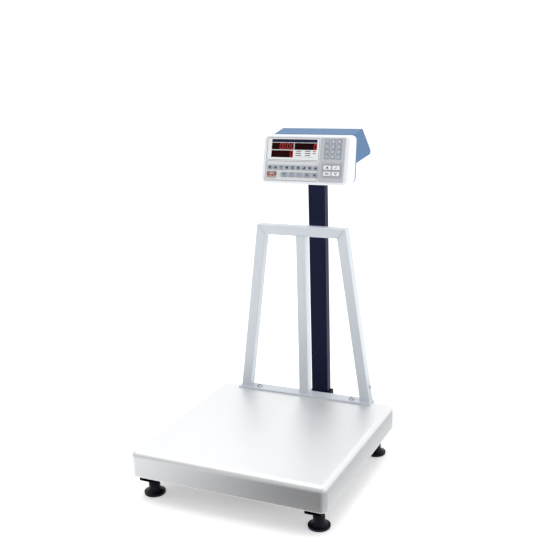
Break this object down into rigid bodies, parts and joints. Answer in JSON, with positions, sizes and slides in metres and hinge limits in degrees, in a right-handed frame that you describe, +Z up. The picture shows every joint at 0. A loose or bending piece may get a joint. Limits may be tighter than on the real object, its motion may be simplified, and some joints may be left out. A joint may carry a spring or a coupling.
{
  "type": "bench scale",
  "caption": "Bench scale with a low steel platform on levelling feet, a back guard and a column that carries a tilting indicator with display and keypad.",
  "frame": {"origin": "middle of the footprint of the whole scale, on the floor", "axes": "+X to the user's right, the user stands on the -Y side, +Z up"},
  "size_m": [0.5, 0.712, 0.829],
  "materials": {
    "pan": "satin stainless sheet",
    "guard": "silver-grey powder coat, satin",
    "frame": "black powder coat, satin",
    "inner_frame": "black powder coat, satin",
    "column": "dark indigo powder coat, satin",
    "foot": "moulded black plastic",
    "cell": "anodised, satin",
    "fastener": "zinc plated",
    "rubber": "moulded rubber",
    "bezel": "white ABS, semi gloss",
    "housing": "blue ABS, fine texture",
    "overlay": "printed polyester, satin",
    "key": "grey-blue keys, satin",
    "white_key": "white keys, satin",
    "filter": "dark red display filter, gloss",
    "board": "green circuit board with display modules",
    "black_plastic": "black moulded plastic"
  },
  "bodies": {
    "base": {"base_frame": "frame", "foot_lock_nuts": "frame", "load_cell": "cell", "load_cell_bolts": "fastener", "platform_frame": "inner_frame", "platform_pads": "rubber", "column_bracket": "frame", "column": "column", "column_bolts": "fastener"},
    "platform": {"platform_pan": "pan", "guard_rail": "guard", "guard_left_leg": "guard", "guard_right_leg": "guard", "guard_centre_bar": "guard", "guard_top_bar": "guard", "guard_screws": "fastener"},
    "indicator": {"head_bracket": "frame", "front_bezel": "bezel", "rear_housing": "housing", "keypad_overlay": "overlay", "display_filter": "filter", "circuit_board": "board", "housing_screws": "fastener", "power_socket": "black_plastic"},
    "knob": {"tilt_knob": "black_plastic"},
    "rocker": {"power_switch": "black_plastic"},
    "foot_front_left": {"foot_front_left": "foot"},
    "foot_front_right": {"foot_front_right": "foot"},
    "foot_rear_left": {"foot_rear_left": "foot"},
    "foot_rear_right": {"foot_rear_right": "foot"},
    "function_key_1": {"function_key_1": "key"},
    "function_key_2": {"function_key_2": "key"},
    "function_key_3": {"function_key_3": "key"},
    "function_key_4": {"function_key_4": "key"},
    "function_key_5": {"function_key_5": "key"},
    "function_key_6": {"function_key_6": "key"},
    "function_key_7": {"function_key_7": "key"},
    "function_key_8": {"function_key_8": "key"},
    "function_key_9": {"function_key_9": "key"},
    "option_key_1": {"option_key_1": "key"},
    "option_key_2": {"option_key_2": "key"},
    "option_key_3": {"option_key_3": "key"},
    "option_key_4": {"option_key_4": "key"},
    "option_key_5": {"option_key_5": "key"},
    "number_key_1": {"number_key_1": "key"},
    "number_key_2": {"number_key_2": "key"},
    "number_key_3": {"number_key_3": "key"},
    "number_key_4": {"number_key_4": "key"},
    "number_key_5": {"number_key_5": "key"},
    "number_key_6": {"number_key_6": "key"},
    "number_key_7": {"number_key_7": "key"},
    "number_key_8": {"number_key_8": "key"},
    "number_key_9": {"number_key_9": "key"},
    "number_key_10": {"number_key_10": "key"},
    "number_key_11": {"number_key_11": "key"},
    "number_key_12": {"number_key_12": "key"},
    "command_key_1": {"command_key_1": "white_key"},
    "command_key_2": {"command_key_2": "white_key"},
    "command_key_3": {"command_key_3": "white_key"},
    "command_key_4": {"command_key_4": "white_key"}
  },
  "joints": [
    {"name": "foot_front_left_height", "type": "slide", "parent": "base", "child": "foot_front_left", "axis": [0, 0, 1], "range_m": [-0.015, 0.002]},
    {"name": "foot_front_right_height", "type": "slide", "parent": "base", "child": "foot_front_right", "axis": [0, 0, 1], "range_m": [-0.015, 0.002]},
    {"name": "foot_rear_left_height", "type": "slide", "parent": "base", "child": "foot_rear_left", "axis": [0, 0, 1], "range_m": [-0.015, 0.002]},
    {"name": "foot_rear_right_height", "type": "slide", "parent": "base", "child": "foot_rear_right", "axis": [0, 0, 1], "range_m": [-0.015, 0.002]},
    {"name": "platform_lift", "type": "slide", "parent": "base", "child": "platform", "axis": [0, 0, 1], "range_m": [0, 0.08]},
    {"name": "indicator_tilt", "type": "hinge", "parent": "base", "child": "indicator", "pos_m": [0, 0.251, 0.727], "axis": [1, 0, 0], "range_deg": [-20, 20]},
    {"name": "knob_turn", "type": "hinge", "parent": "indicator", "child": "knob", "pos_m": [0, 0.251, 0.727], "axis": [1, 0, 0], "continuous": true},
    {"name": "power_rocker", "type": "hinge", "parent": "indicator", "child": "rocker", "pos_m": [-0.07, 0.313, 0.751], "axis": [1, 0, 0], "range_deg": [0, 16]},
    {"name": "function_key_1_press", "type": "slide", "parent": "indicator", "child": "function_key_1", "axis": [0, 0.9659, -0.2588], "range_m": [0, 0.0005], "stiffness_N_per_m": 1500},
    {"name": "function_key_2_press", "type": "slide", "parent": "indicator", "child": "function_key_2", "axis": [0, 0.9659, -0.2588], "range_m": [0, 0.0005], "stiffness_N_per_m": 1500},
    {"name": "function_key_3_press", "type": "slide", "parent": "indicator", "child": "function_key_3", "axis": [0, 0.9659, -0.2588], "range_m": [0, 0.0005], "stiffness_N_per_m": 1500},
    {"name": "function_key_4_press", "type": "slide", "parent": "indicator", "child": "function_key_4", "axis": [0, 0.9659, -0.2588], "range_m": [0, 0.0005], "stiffness_N_per_m": 1500},
    {"name": "function_key_5_press", "type": "slide", "parent": "indicator", "child": "function_key_5", "axis": [0, 0.9659, -0.2588], "range_m": [0, 0.0005], "stiffness_N_per_m": 1500},
    {"name": "function_key_6_press", "type": "slide", "parent": "indicator", "child": "function_key_6", "axis": [0, 0.9659, -0.2588], "range_m": [0, 0.0005], "stiffness_N_per_m": 1500},
    {"name": "function_key_7_press", "type": "slide", "parent": "indicator", "child": "function_key_7", "axis": [0, 0.9659, -0.2588], "range_m": [0, 0.0005], "stiffness_N_per_m": 1500},
    {"name": "function_key_8_press", "type": "slide", "parent": "indicator", "child": "function_key_8", "axis": [0, 0.9659, -0.2588], "range_m": [0, 0.0005], "stiffness_N_per_m": 1500},
    {"name": "function_key_9_press", "type": "slide", "parent": "indicator", "child": "function_key_9", "axis": [0, 0.9659, -0.2588], "range_m": [0, 0.0005], "stiffness_N_per_m": 1500},
    {"name": "option_key_1_press", "type": "slide", "parent": "indicator", "child": "option_key_1", "axis": [0, 0.9659, -0.2588], "range_m": [0, 0.0005], "stiffness_N_per_m": 1500},
    {"name": "option_key_2_press", "type": "slide", "parent": "indicator", "child": "option_key_2", "axis": [0, 0.9659, -0.2588], "range_m": [0, 0.0005], "stiffness_N_per_m": 1500},
    {"name": "option_key_3_press", "type": "slide", "parent": "indicator", "child": "option_key_3", "axis": [0, 0.9659, -0.2588], "range_m": [0, 0.0005], "stiffness_N_per_m": 1500},
    {"name": "option_key_4_press", "type": "slide", "parent": "indicator", "child": "option_key_4", "axis": [0, 0.9659, -0.2588], "range_m": [0, 0.0005], "stiffness_N_per_m": 1500},
    {"name": "option_key_5_press", "type": "slide", "parent": "indicator", "child": "option_key_5", "axis": [0, 0.9659, -0.2588], "range_m": [0, 0.0005], "stiffness_N_per_m": 1500},
    {"name": "number_key_1_press", "type": "slide", "parent": "indicator", "child": "number_key_1", "axis": [0, 0.9659, -0.2588], "range_m": [0, 0.0005], "stiffness_N_per_m": 1500},
    {"name": "number_key_2_press", "type": "slide", "parent": "indicator", "child": "number_key_2", "axis": [0, 0.9659, -0.2588], "range_m": [0, 0.0005], "stiffness_N_per_m": 1500},
    {"name": "number_key_3_press", "type": "slide", "parent": "indicator", "child": "number_key_3", "axis": [0, 0.9659, -0.2588], "range_m": [0, 0.0005], "stiffness_N_per_m": 1500},
    {"name": "number_key_4_press", "type": "slide", "parent": "indicator", "child": "number_key_4", "axis": [0, 0.9659, -0.2588], "range_m": [0, 0.0005], "stiffness_N_per_m": 1500},
    {"name": "number_key_5_press", "type": "slide", "parent": "indicator", "child": "number_key_5", "axis": [0, 0.9659, -0.2588], "range_m": [0, 0.0005], "stiffness_N_per_m": 1500},
    {"name": "number_key_6_press", "type": "slide", "parent": "indicator", "child": "number_key_6", "axis": [0, 0.9659, -0.2588], "range_m": [0, 0.0005], "stiffness_N_per_m": 1500},
    {"name": "number_key_7_press", "type": "slide", "parent": "indicator", "child": "number_key_7", "axis": [0, 0.9659, -0.2588], "range_m": [0, 0.0005], "stiffness_N_per_m": 1500},
    {"name": "number_key_8_press", "type": "slide", "parent": "indicator", "child": "number_key_8", "axis": [0, 0.9659, -0.2588], "range_m": [0, 0.0005], "stiffness_N_per_m": 1500},
    {"name": "number_key_9_press", "type": "slide", "parent": "indicator", "child": "number_key_9", "axis": [0, 0.9659, -0.2588], "range_m": [0, 0.0005], "stiffness_N_per_m": 1500},
    {"name": "number_key_10_press", "type": "slide", "parent": "indicator", "child": "number_key_10", "axis": [0, 0.9659, -0.2588], "range_m": [0, 0.0005], "stiffness_N_per_m": 1500},
    {"name": "number_key_11_press", "type": "slide", "parent": "indicator", "child": "number_key_11", "axis": [0, 0.9659, -0.2588], "range_m": [0, 0.0005], "stiffness_N_per_m": 1500},
    {"name": "number_key_12_press", "type": "slide", "parent": "indicator", "child": "number_key_12", "axis": [0, 0.9659, -0.2588], "range_m": [0, 0.0005], "stiffness_N_per_m": 1500},
    {"name": "command_key_1_press", "type": "slide", "parent": "indicator", "child": "command_key_1", "axis": [0, 0.9659, -0.2588], "range_m": [0, 0.0005], "stiffness_N_per_m": 1500},
    {"name": "command_key_2_press", "type": "slide", "parent": "indicator", "child": "command_key_2", "axis": [0, 0.9659, -0.2588], "range_m": [0, 0.0005], "stiffness_N_per_m": 1500},
    {"name": "command_key_3_press", "type": "slide", "parent": "indicator", "child": "command_key_3", "axis": [0, 0.9659, -0.2588], "range_m": [0, 0.0005], "stiffness_N_per_m": 1500},
    {"name": "command_key_4_press", "type": "slide", "parent": "indicator", "child": "command_key_4", "axis": [0, 0.9659, -0.2588], "range_m": [0, 0.0005], "stiffness_N_per_m": 1500}
  ]
}
